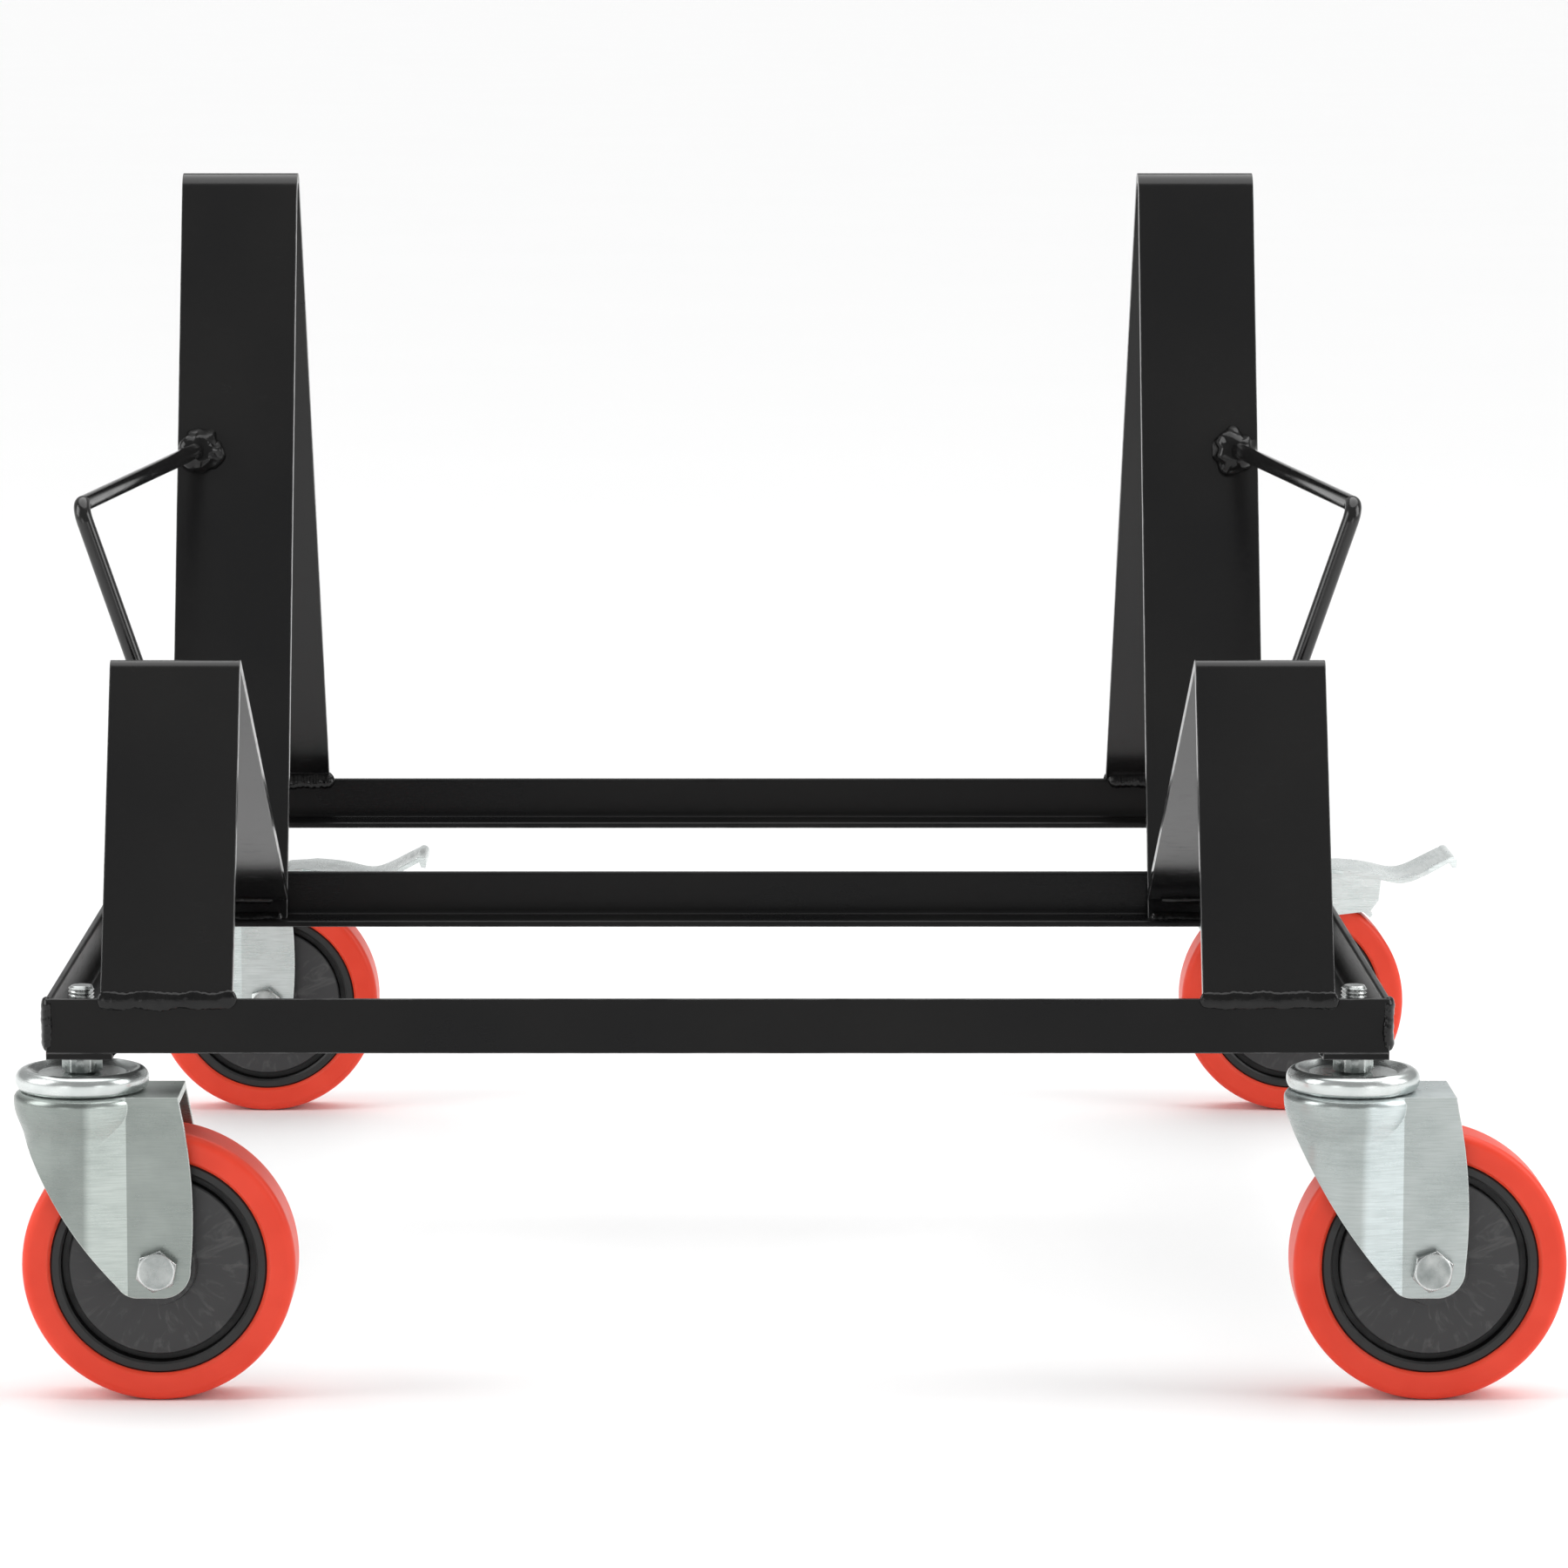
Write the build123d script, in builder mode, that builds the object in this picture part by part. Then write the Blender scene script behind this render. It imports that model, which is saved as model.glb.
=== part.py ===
from build123d import *
from math import acos, atan2, cos, hypot, radians, sin, tan
import os

# Engine stand: a welded angle-iron base with two short and two tall V-bent posts, two side
# rods, and four swivel casters, the rear pair with a pedal brake. Millimetres, +Z up, floor at
# Z = 0, front of the stand towards -Y. The origin is under the middle of the whole stand's box.

os.makedirs("parts", exist_ok=True)

# Base frame, 25 x 25 x 3 angle iron
FRAME_WIDTH = 610.0
FRAME_DEPTH = 762.0
LEG = 25.0
WALL = 3.0
ROOT_RADIUS = 2.0
TOE_RADIUS = 1.5
RAIL_BOTTOM = 161.0
RAIL_TOP = RAIL_BOTTOM + LEG
FLANGE_TOP = RAIL_BOTTOM + WALL
MIDDLE_RAIL_BACK = 18.0
PLATE_SIZE = 30.0
PLATE_THICKNESS = 3.0
PLATE_BOTTOM = RAIL_BOTTOM - PLATE_THICKNESS

# Posts, bent from 60 x 5 flat bar: outer corner points, (y, z), before the bends are rounded
BAR_WIDTH = 60.0
BAR_THICKNESS = 5.0
POST_CENTRE = 250.0
SHORT_FOOT = (-FRAME_DEPTH / 2 - 1.0, RAIL_TOP)
SHORT_APEX = (-313.0, 334.6)
SHORT_REAR_SLOPE = 26.1
SHORT_BEND = 6.0
TALL_FOOT = (1.6, FLANGE_TOP)
TALL_APEX = (136.0, 554.0)
TALL_REAR_FOOT = (FRAME_DEPTH / 2 + 1.5, RAIL_TOP)
TALL_BEND = 13.0

# Side rods, 8 mm bar: distances from the stand's middle plane, then y and z
ROD_RADIUS = 4.0
ROD_BEND = 8.0
ROD_START = (268.0, 85.5, 398.0)
ROD_CORNER = (303.0, -211.0, 395.0)
ROD_END = (264.3, -211.0, 281.8)

# Casters: heights above the floor, and x measured from the kingpin
KINGPIN_INSET = 15.0
WHEEL_RADIUS = 62.5
WHEEL_HALF_WIDTH = 16.0
TRAIL = 35.0
FORK_HALF_WIDTH = 22.0
SHEET = 2.5
FORK_TOP = 141.8
FORK_PLATE_BOTTOM = 138.8
HEAD_RADIUS = 31.3
NECK_RADIUS = 26.3
NECK_TOP = 117.0
WEB_END = 21.5
FORK_BOTTOM = 49.0
FORK_BACK = 51.4
CAP_BOTTOM = 142.6
CAP_TOP = 150.0
CAP_RADIUS = 30.0

# Kingpin, its two ball rows, and the M12 stem above it
STEM_RADIUS = 6.0
STEM_TOP = 190.0
STEM_HEX = 16.0
NUT_HEX = 19.0
CORNER_SHARE = 0.575
HEX_BEVEL = 1.6
STEM_CLEARANCE = 0.3
RIVET_RADIUS = 9.0
RIVET_BOTTOM = 129.0
CUP_BOTTOM = 131.5
NUT_HEIGHT = 10.0
UPPER_ROW = 23.0
UPPER_BALL = 3.15
UPPER_BALL_HEIGHT = 144.6
UPPER_COUNT = 18
LOWER_ROW = 12.5
LOWER_BALL = 2.4
LOWER_COUNT = 12

# Axle and wheel
AXLE_RADIUS = 5.0
AXLE_HEX = 17.0
AXLE_HEAD = 6.4
SLEEVE_RADIUS = 7.0
BEARING_RADIUS = 13.0
BEARING_WIDTH = 8.0
RUNNING_GAP = 0.05
HUB_RADIUS = 49.5
HUB_HALF_LENGTH = 18.2

# Brake, rear casters only: pivots and pedal measured from the kingpin and the floor
PEDAL_PIN = (39.5, 133.0)
SHOE_PIN = (26.0, 131.5)
PIN_RADIUS = 2.5
PIN_HEAD_RADIUS = 4.0
PIN_HEAD = 1.4
PEDAL_REACH = 126.0
PEDAL_HALF_WIDTH = 25.0
FLANGE_OUTSIDE = 19.2
FLANGE_THICKNESS = 2.2
SHOE_GAP = 2.2
SHOE_THICKNESS = 2.5
SHOE_HALF_WIDTH = 15.0
SHOE_END_ANGLE = 42.0

KINGPIN_X = FRAME_WIDTH / 2 - KINGPIN_INSET
KINGPIN_Y = FRAME_DEPTH / 2 - KINGPIN_INSET
# The trailing casters make the box lopsided, so the frame's middle stands off the origin.
MIDDLE_X = (HEAD_RADIUS - PEDAL_REACH) / 2
LEFT_FACE = MIDDLE_X - FRAME_WIDTH / 2
FRONT_FACE = -FRAME_DEPTH / 2
CORNERS = [
    ("front_left", -1, -1),
    ("front_right", 1, -1),
    ("rear_left", -1, 1),
    ("rear_right", 1, 1),
]
KINGPINS = [(MIDDLE_X + sx * KINGPIN_X, sy * KINGPIN_Y) for _, sx, sy in CORNERS]


def save(builder, name):
    """Label a finished piece and write it as a STEP file."""
    builder.part.label = name
    export_step(builder.part, f"parts/{name}.step")


def line_cross(p, q, r, s):
    """Where the line through p and q meets the line through r and s."""
    a = Vector(*q) - Vector(*p)
    b = Vector(*s) - Vector(*r)
    gap = Vector(*r) - Vector(*p)
    share = (gap.X * b.Y - gap.Y * b.X) / (a.X * b.Y - a.Y * b.X)
    return (p[0] + share * a.X, p[1] + share * a.Y)


def inner_line(p, q):
    """The line through p and q moved to its right by the bar's thickness."""
    along = (Vector(*q) - Vector(*p)).normalized()
    shift = Vector(along.Y, -along.X) * BAR_THICKNESS
    return [(p[0] + shift.X, p[1] + shift.Y), (q[0] + shift.X, q[1] + shift.Y)]


def angle_section(outer_face, inward):
    """L section with its upright leg at outer_face and its flat leg pointing inward."""
    def at(depth, height):
        return (outer_face + inward * depth, RAIL_BOTTOM + height)
    with BuildSketch() as section:
        with BuildLine():
            Polyline(at(0, 0), at(LEG, 0), at(LEG, WALL), at(WALL, WALL), at(WALL, LEG),
                     at(0, LEG), close=True)
        make_face()
        fillet(vertices().sort_by_distance(at(WALL, WALL))[0], ROOT_RADIUS)
        fillet(vertices().sort_by_distance(at(WALL, LEG))[0], TOE_RADIUS)
        fillet(vertices().sort_by_distance(at(LEG, WALL))[0], TOE_RADIUS)
    return section.sketch


# Front and rear rails, with clearance holes for the caster stems
with BuildPart() as front_rail:
    with BuildSketch(Plane.YZ.offset(LEFT_FACE)):
        add(angle_section(FRONT_FACE, 1))
    extrude(amount=FRAME_WIDTH)
    with BuildSketch(Plane.XY.offset(RAIL_BOTTOM)):
        with Locations(*KINGPINS):
            Circle(STEM_RADIUS + STEM_CLEARANCE)
    extrude(amount=WALL, mode=Mode.SUBTRACT)
save(front_rail, "front_rail")

with BuildPart() as rear_rail:
    with BuildSketch(Plane.YZ.offset(LEFT_FACE)):
        add(angle_section(-FRONT_FACE, -1))
    extrude(amount=FRAME_WIDTH)
    with BuildSketch(Plane.XY.offset(RAIL_BOTTOM)):
        with Locations(*KINGPINS):
            Circle(STEM_RADIUS + STEM_CLEARANCE)
    extrude(amount=WALL, mode=Mode.SUBTRACT)
save(rear_rail, "rear_rail")

# Side rails, coped over the flat legs of the front and rear rails
side_rails = []
for side_name, side in (("left", -1), ("right", 1)):
    with BuildPart() as side_rail:
        with BuildSketch(Plane.XZ.offset(FRONT_FACE + WALL)):
            add(angle_section(MIDDLE_X + side * FRAME_WIDTH / 2, -side))
        extrude(amount=FRAME_DEPTH - 2 * WALL)
        with BuildSketch(Plane.XY.offset(RAIL_BOTTOM)):
            with Locations((MIDDLE_X, FRONT_FACE), (MIDDLE_X, -FRONT_FACE)):
                Rectangle(FRAME_WIDTH, 2 * LEG)
        extrude(amount=WALL, mode=Mode.SUBTRACT)
        add(front_rail.part, mode=Mode.SUBTRACT)
        add(rear_rail.part, mode=Mode.SUBTRACT)
    save(side_rail, f"{side_name}_side_rail")
    side_rails.append(side_rail)

# Middle rail, flat leg towards the front, coped over the side rails
with BuildPart() as middle_rail:
    with BuildSketch(Plane.YZ.offset(LEFT_FACE + WALL)):
        add(angle_section(MIDDLE_RAIL_BACK, -1))
    extrude(amount=FRAME_WIDTH - 2 * WALL)
    for side_rail in side_rails:
        add(side_rail.part, mode=Mode.SUBTRACT)
save(middle_rail, "middle_rail")

# Square plates under the four corners, which the caster stems bolt through
with BuildPart() as corner_plates:
    with BuildSketch(Plane.XY.offset(PLATE_BOTTOM)):
        plate_x = FRAME_WIDTH / 2 - PLATE_SIZE / 2
        plate_y = FRAME_DEPTH / 2 - PLATE_SIZE / 2
        with Locations(*[(MIDDLE_X + sx * plate_x, sy * plate_y) for _, sx, sy in CORNERS]):
            Rectangle(PLATE_SIZE, PLATE_SIZE)
        with Locations(*KINGPINS):
            Circle(STEM_RADIUS + STEM_CLEARANCE, mode=Mode.SUBTRACT)
    extrude(amount=PLATE_THICKNESS)
save(corner_plates, "corner_plates")

# Posts: each outline runs up the front leg, over the bend, and down the rear leg
short_back = (SHORT_APEX[0] + cos(radians(SHORT_REAR_SLOPE)),
              SHORT_APEX[1] - sin(radians(SHORT_REAR_SLOPE)))
short_front_in = inner_line(SHORT_FOOT, SHORT_APEX)
short_rear_in = inner_line(SHORT_APEX, short_back)
tall_front_in = inner_line(TALL_FOOT, TALL_APEX)
tall_rear_in = inner_line(TALL_APEX, TALL_REAR_FOOT)
RAIL_TOP_LINE = [(0, RAIL_TOP), (1, RAIL_TOP)]
FLANGE_TOP_LINE = [(0, FLANGE_TOP), (1, FLANGE_TOP)]
SHORT_OUTLINE = [
    SHORT_FOOT,
    SHORT_APEX,
    line_cross(SHORT_APEX, short_back, TALL_FOOT, TALL_APEX),
    line_cross(*short_rear_in, TALL_FOOT, TALL_APEX),
    line_cross(*short_front_in, *short_rear_in),
    line_cross(*short_front_in, *RAIL_TOP_LINE),
]
TALL_OUTLINE = [
    TALL_FOOT,
    TALL_APEX,
    TALL_REAR_FOOT,
    line_cross(*tall_rear_in, *RAIL_TOP_LINE),
    line_cross(*tall_front_in, *tall_rear_in),
    line_cross(*tall_front_in, *FLANGE_TOP_LINE),
]
posts = {}
for side_name, side in (("left", -1), ("right", 1)):
    for height_name, outline, bend in (("tall", TALL_OUTLINE, TALL_BEND),
                                       ("short", SHORT_OUTLINE, SHORT_BEND)):
        near_edge = MIDDLE_X + side * POST_CENTRE - BAR_WIDTH / 2
        with BuildPart() as post:
            with BuildSketch(Plane.YZ.offset(near_edge)):
                with BuildLine():
                    Polyline(*outline, close=True)
                make_face()
                fillet(vertices().sort_by_distance(outline[4])[0], max(bend - BAR_THICKNESS, 1.0))
                fillet(vertices().sort_by_distance(outline[1])[0], bend)
            extrude(amount=BAR_WIDTH)
        save(post, f"{side_name}_{height_name}_post")
        posts[side_name, height_name] = post

# Side rods, each from a tall post's front face round to the short post's rear leg
for side_name, side in (("left", -1), ("right", 1)):
    route = [(MIDDLE_X + side * x, y, z) for x, y, z in (ROD_START, ROD_CORNER, ROD_END)]
    with BuildPart() as side_rod:
        with BuildLine() as rod_line:
            FilletPolyline(*route, radius=ROD_BEND)
        with BuildSketch(Plane(origin=rod_line.line @ 0, z_dir=rod_line.line % 0)):
            Circle(ROD_RADIUS)
        sweep()
        add(posts[side_name, "tall"].part, mode=Mode.SUBTRACT)
        add(posts[side_name, "short"].part, mode=Mode.SUBTRACT)
    save(side_rod, f"{side_name}_side_rod")


def hexagon_bevel(radius, low, high, bevel):
    """Half section that rounds off a hexagon's corners, for a revolve that keeps the overlap."""
    rim = bevel * tan(radians(30))
    with BuildSketch() as section:
        with BuildLine():
            Polyline((0, low), (radius - bevel, low), (radius, low + rim), (radius, high - rim),
                     (radius - bevel, high), (0, high), close=True)
        make_face()
    return section.sketch


# M12 nuts that hold the caster stems to the frame
with BuildPart() as nut:
    with BuildSketch():
        RegularPolygon(NUT_HEX / 2, 6, major_radius=False)
    extrude(amount=NUT_HEIGHT)
    with BuildSketch(Plane.XZ):
        add(hexagon_bevel(NUT_HEX * CORNER_SHARE, 0, NUT_HEIGHT, HEX_BEVEL))
    revolve(axis=Axis.Z, mode=Mode.INTERSECT)
    with BuildSketch():
        Circle(STEM_RADIUS)
    extrude(amount=NUT_HEIGHT, mode=Mode.SUBTRACT)

with BuildPart() as stem_nuts:
    with Locations(*[(kx, ky, FLANGE_TOP) for kx, ky in KINGPINS]):
        add(nut.part)
save(stem_nuts, "stem_nuts")

# Cups under the fork heads, held by the riveted ends of the kingpins
with BuildPart() as lower_races:
    for kx, ky in KINGPINS:
        with BuildSketch(Plane(origin=(kx, ky, 0), x_dir=(1, 0, 0), z_dir=(0, -1, 0))):
            with BuildLine():
                Polyline((STEM_RADIUS, CUP_BOTTOM), (15.8, CUP_BOTTOM), (18.0, 133.8),
                         (18.0, 137.2), (16.2, 137.2), (16.2, 134.6), (15.3, 133.7),
                         (STEM_RADIUS, 133.7), close=True)
            make_face()
        revolve(axis=Axis((kx, ky, 0), (0, 0, 1)))
save(lower_races, "lower_races")


def make_stem(name, kx, ky):
    """Kingpin: threaded stem, hexagon shoulder, shank through the fork head, riveted end."""
    with BuildPart() as stem:
        with BuildSketch(Plane(origin=(kx, ky, CAP_TOP))):
            RegularPolygon(STEM_HEX / 2, 6, major_radius=False)
        extrude(amount=PLATE_BOTTOM - CAP_TOP)
        with BuildSketch(Plane(origin=(kx, ky, 0), x_dir=(1, 0, 0), z_dir=(0, -1, 0))):
            add(hexagon_bevel(STEM_HEX * CORNER_SHARE, CAP_TOP, PLATE_BOTTOM, HEX_BEVEL))
        revolve(axis=Axis((kx, ky, 0), (0, 0, 1)), mode=Mode.INTERSECT)
        with BuildSketch(Plane(origin=(kx, ky, 0), x_dir=(1, 0, 0), z_dir=(0, -1, 0))):
            with BuildLine():
                Polyline((0, RIVET_BOTTOM), (RIVET_RADIUS - 1.5, RIVET_BOTTOM),
                         (RIVET_RADIUS, RIVET_BOTTOM + 1.0), (RIVET_RADIUS, CUP_BOTTOM),
                         (STEM_RADIUS, CUP_BOTTOM), (STEM_RADIUS, STEM_TOP - 1.2),
                         (STEM_RADIUS - 1.2, STEM_TOP), (0, STEM_TOP), close=True)
            make_face()
        revolve(axis=Axis((kx, ky, 0), (0, 0, 1)))
    save(stem, f"{name}_stem")


def make_top_raceway(name, kx, ky):
    """Pressed cap over the upper ball row, with a rolled rim and a sunk middle."""
    with BuildPart() as raceway:
        with BuildSketch(Plane(origin=(kx, ky, 0), x_dir=(1, 0, 0), z_dir=(0, -1, 0))):
            with BuildLine():
                Line((STEM_RADIUS, 148.1), (STEM_RADIUS, CAP_TOP))
                Line((STEM_RADIUS, CAP_TOP), (20.0, CAP_TOP))
                Line((20.0, CAP_TOP), (25.0, 152.0))
                rim = ThreePointArc((25.0, 152.0), (29.2, 150.6), (CAP_RADIUS + 0.4, 147.2))
                ThreePointArc(rim @ 1, (29.9, 144.4), (28.6, CAP_BOTTOM))
                Line((28.6, CAP_BOTTOM), (27.3, CAP_BOTTOM))
                Line((27.3, CAP_BOTTOM), (27.3, 147.2))
                Line((27.3, 147.2), (25.4, 149.4))
                Line((25.4, 149.4), (21.2, 148.1))
                Line((21.2, 148.1), (STEM_RADIUS, 148.1))
            make_face()
        revolve(axis=Axis((kx, ky, 0), (0, 0, 1)))
    save(raceway, f"{name}_top_raceway")


def make_balls(name, kx, ky):
    """Two rows of bearing balls, above and below the fork's top plate."""
    lower_height = FORK_PLATE_BOTTOM - LOWER_BALL
    with BuildPart() as balls:
        with Locations(Plane(origin=(kx, ky, UPPER_BALL_HEIGHT))):
            with PolarLocations(UPPER_ROW, UPPER_COUNT):
                Sphere(UPPER_BALL)
        with Locations(Plane(origin=(kx, ky, lower_height))):
            with PolarLocations(LOWER_ROW, LOWER_COUNT):
                Sphere(LOWER_BALL)
    save(balls, f"{name}_ball_bearings")


def neck_webs(radius, half_width):
    """Plan of the flat webs that run from the round neck, tangent to it, out to the cheeks."""
    reach = hypot(WEB_END, half_width)
    angle = atan2(half_width, WEB_END) + acos(radius / reach)
    touch = (radius * cos(angle), radius * sin(angle))
    with BuildSketch() as plan:
        with BuildLine():
            Polyline((0, 0), touch, (WEB_END, half_width), (WEB_END, 0), close=True)
        make_face()
        mirror(about=Plane.XZ)
    return plan.sketch


def make_fork(name, kx, ky, braked):
    """Pressed fork: flared head, round neck, flat webs and cheeks with slanting front edges."""
    kingpin = Axis((kx, ky, 0), (0, 0, 1))
    upright = Plane(origin=(kx, ky, 0), x_dir=(1, 0, 0), z_dir=(0, -1, 0))
    low = FORK_BOTTOM - 5
    inner_width = 2 * (FORK_HALF_WIDTH - SHEET)
    with BuildPart() as fork:
        with BuildSketch(upright):
            with BuildLine():
                Line((0, low), (NECK_RADIUS, low))
                Line((NECK_RADIUS, low), (NECK_RADIUS, NECK_TOP))
                Spline((NECK_RADIUS, NECK_TOP), (HEAD_RADIUS, FORK_TOP - 4.4),
                       tangents=((0, 1), (0, 1)))
                ThreePointArc((HEAD_RADIUS, FORK_TOP - 4.4), (30.5, FORK_TOP - 1.4), (28.2, FORK_TOP))
                Line((28.2, FORK_TOP), (0, FORK_TOP))
                Line((0, FORK_TOP), (0, low))
            make_face()
        revolve(axis=kingpin)
        with BuildSketch(Plane(origin=(kx, ky, low))):
            Rectangle(FORK_BACK + 2, 2 * FORK_HALF_WIDTH, align=(Align.MIN, Align.CENTER))
            add(neck_webs(NECK_RADIUS, FORK_HALF_WIDTH))
        extrude(amount=FORK_TOP - low)
        with BuildSketch(upright):
            with BuildLine():
                Line((0, low), (NECK_RADIUS - SHEET, low))
                Line((NECK_RADIUS - SHEET, low), (NECK_RADIUS - SHEET, NECK_TOP))
                Spline((NECK_RADIUS - SHEET, NECK_TOP), (HEAD_RADIUS - SHEET, FORK_TOP - 4.4),
                       tangents=((0, 1), (0, 1)))
                Line((HEAD_RADIUS - SHEET, FORK_TOP - 4.4), (HEAD_RADIUS - SHEET - 1, FORK_PLATE_BOTTOM))
                Line((HEAD_RADIUS - SHEET - 1, FORK_PLATE_BOTTOM), (0, FORK_PLATE_BOTTOM))
                Line((0, FORK_PLATE_BOTTOM), (0, low))
            make_face()
        revolve(axis=kingpin, mode=Mode.SUBTRACT)
        with BuildSketch(Plane(origin=(kx, ky, low))):
            Rectangle(FORK_BACK + 4, inner_width, align=(Align.MIN, Align.CENTER))
            add(neck_webs(NECK_RADIUS - SHEET, FORK_HALF_WIDTH - SHEET))
        extrude(amount=FORK_PLATE_BOTTOM - low, mode=Mode.SUBTRACT)
        # Side outline of the cheeks and the head
        with BuildSketch(upright):
            with BuildLine():
                Polyline((45.0, 143.0), (-33.0, 143.0), (-33.0, 138.0), (-27.0, 122.5))
                ThreePointArc((-27.0, 122.5), (-6.2, 84.5), (17.5, 53.6))
                ThreePointArc((17.5, 53.6), (20.9, 50.3), (25.5, FORK_BOTTOM))
                Line((25.5, FORK_BOTTOM), (38.0, FORK_BOTTOM))
                ThreePointArc((38.0, FORK_BOTTOM), (46.6, 53.0), (50.2, 63.0))
                ThreePointArc((50.2, 63.0), (FORK_BACK, 91.4), (46.3, 135.5))
                Line((46.3, 135.5), (45.0, 143.0))
            make_face()
        extrude(amount=HEAD_RADIUS + 1, both=True, mode=Mode.INTERSECT)
        # Kingpin hole, groove for the upper balls, and the axle holes
        with BuildSketch(Plane(origin=(kx, ky, FORK_PLATE_BOTTOM))):
            Circle(STEM_RADIUS + 1)
        extrude(amount=FORK_TOP - FORK_PLATE_BOTTOM, mode=Mode.SUBTRACT)
        with BuildSketch(upright):
            with Locations((UPPER_ROW, UPPER_BALL_HEIGHT)):
                Circle(UPPER_BALL + RUNNING_GAP)
        revolve(axis=kingpin, mode=Mode.SUBTRACT)
        with BuildSketch(upright):
            with Locations((TRAIL, WHEEL_RADIUS)):
                Circle(AXLE_RADIUS)
            if braked:
                with Locations(PEDAL_PIN, SHOE_PIN):
                    Circle(PIN_RADIUS)
        extrude(amount=FORK_HALF_WIDTH + 1, both=True, mode=Mode.SUBTRACT)
    save(fork, f"{name}_fork")


def make_axle(name, kx, ky):
    """Axle bolt with its head to the front, its nut, and the sleeve between the cheeks."""
    axle = Axis((kx + TRAIL, ky, WHEEL_RADIUS), (0, 1, 0))
    front = Plane(origin=(kx + TRAIL, ky - FORK_HALF_WIDTH, WHEEL_RADIUS), x_dir=(1, 0, 0),
                  z_dir=(0, -1, 0))
    back = Plane(origin=(kx + TRAIL, ky + FORK_HALF_WIDTH, WHEEL_RADIUS), x_dir=(1, 0, 0),
                 z_dir=(0, 1, 0))
    across = Plane(origin=(kx + TRAIL, ky, WHEEL_RADIUS), x_dir=(1, 0, 0), z_dir=(0, 0, 1))
    head_end = FORK_HALF_WIDTH + AXLE_HEAD
    with BuildPart() as bolt:
        with BuildSketch(front):
            RegularPolygon(AXLE_HEX / 2, 6, major_radius=False, rotation=20)
        extrude(amount=AXLE_HEAD)
        with BuildSketch(across):
            add(hexagon_bevel(AXLE_HEX * CORNER_SHARE, -head_end, 1 - FORK_HALF_WIDTH, HEX_BEVEL))
        revolve(axis=axle, mode=Mode.INTERSECT)
        with BuildSketch(across):
            with BuildLine():
                Polyline((0, -FORK_HALF_WIDTH), (AXLE_RADIUS, -FORK_HALF_WIDTH),
                         (AXLE_RADIUS, head_end - 1), (AXLE_RADIUS - 1, head_end), (0, head_end),
                         close=True)
            make_face()
        revolve(axis=axle)
    save(bolt, f"{name}_axle_bolt")

    with BuildPart() as nut:
        with BuildSketch(back):
            RegularPolygon(AXLE_HEX / 2, 6, major_radius=False, rotation=10)
        extrude(amount=AXLE_HEAD)
        with BuildSketch(across):
            add(hexagon_bevel(AXLE_HEX * CORNER_SHARE, FORK_HALF_WIDTH - 1, head_end, HEX_BEVEL))
        revolve(axis=axle, mode=Mode.INTERSECT)
        with BuildSketch(back):
            Circle(AXLE_RADIUS)
        extrude(amount=AXLE_HEAD, mode=Mode.SUBTRACT)
    save(nut, f"{name}_axle_nut")

    with BuildPart() as sleeve:
        with BuildSketch(Plane(origin=axle.position, x_dir=(1, 0, 0), z_dir=(0, -1, 0))):
            Circle(SLEEVE_RADIUS)
            Circle(AXLE_RADIUS, mode=Mode.SUBTRACT)
        extrude(amount=FORK_HALF_WIDTH - SHEET, both=True)
    save(sleeve, f"{name}_axle_sleeve")


def make_wheel(name, kx, ky):
    """Plastic hub with a groove near its rim, a polyurethane tread, and two ring bearings."""
    axle = Axis((kx + TRAIL, ky, WHEEL_RADIUS), (0, 1, 0))
    across = Plane(origin=(kx + TRAIL, ky, WHEEL_RADIUS), x_dir=(1, 0, 0), z_dir=(0, 0, 1))
    seat = HUB_HALF_LENGTH - BEARING_WIDTH
    with BuildPart() as hub:
        with BuildSketch(across):
            with BuildLine():
                Polyline((9.0, 0), (9.0, seat), (BEARING_RADIUS, seat),
                         (BEARING_RADIUS, HUB_HALF_LENGTH), (17.0, HUB_HALF_LENGTH),
                         (18.0, 13.4), (40.4, 14.0), (41.2, 13.2), (41.6, 9.0), (44.2, 9.0),
                         (44.6, 14.2), (45.6, 15.0), (48.6, 15.0), (HUB_RADIUS, 14.0),
                         (HUB_RADIUS, 0), close=True)
            make_face()
            mirror(about=Plane.XZ)
        revolve(axis=axle)
    save(hub, f"{name}_hub")

    with BuildPart() as tread:
        with BuildSketch(across):
            with BuildLine():
                Polyline((HUB_RADIUS, 0), (HUB_RADIUS, 14.6), (HUB_RADIUS + 1.4, WHEEL_HALF_WIDTH),
                         (58.5, WHEEL_HALF_WIDTH))
                ThreePointArc((58.5, WHEEL_HALF_WIDTH), (61.2, 14.9), (WHEEL_RADIUS, 12.0))
                Polyline((WHEEL_RADIUS, 12.0), (WHEEL_RADIUS, 0), (HUB_RADIUS, 0))
            make_face()
            mirror(about=Plane.XZ)
        revolve(axis=axle)
    save(tread, f"{name}_tread")

    with BuildPart() as bearings:
        with BuildSketch(across):
            inner = SLEEVE_RADIUS + RUNNING_GAP
            for centre in (seat + BEARING_WIDTH / 2, -seat - BEARING_WIDTH / 2):
                with Locations((inner, centre)):
                    Rectangle(BEARING_RADIUS - inner, BEARING_WIDTH,
                              align=(Align.MIN, Align.CENTER))
        revolve(axis=axle)
    save(bearings, f"{name}_wheel_bearings")


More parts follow.
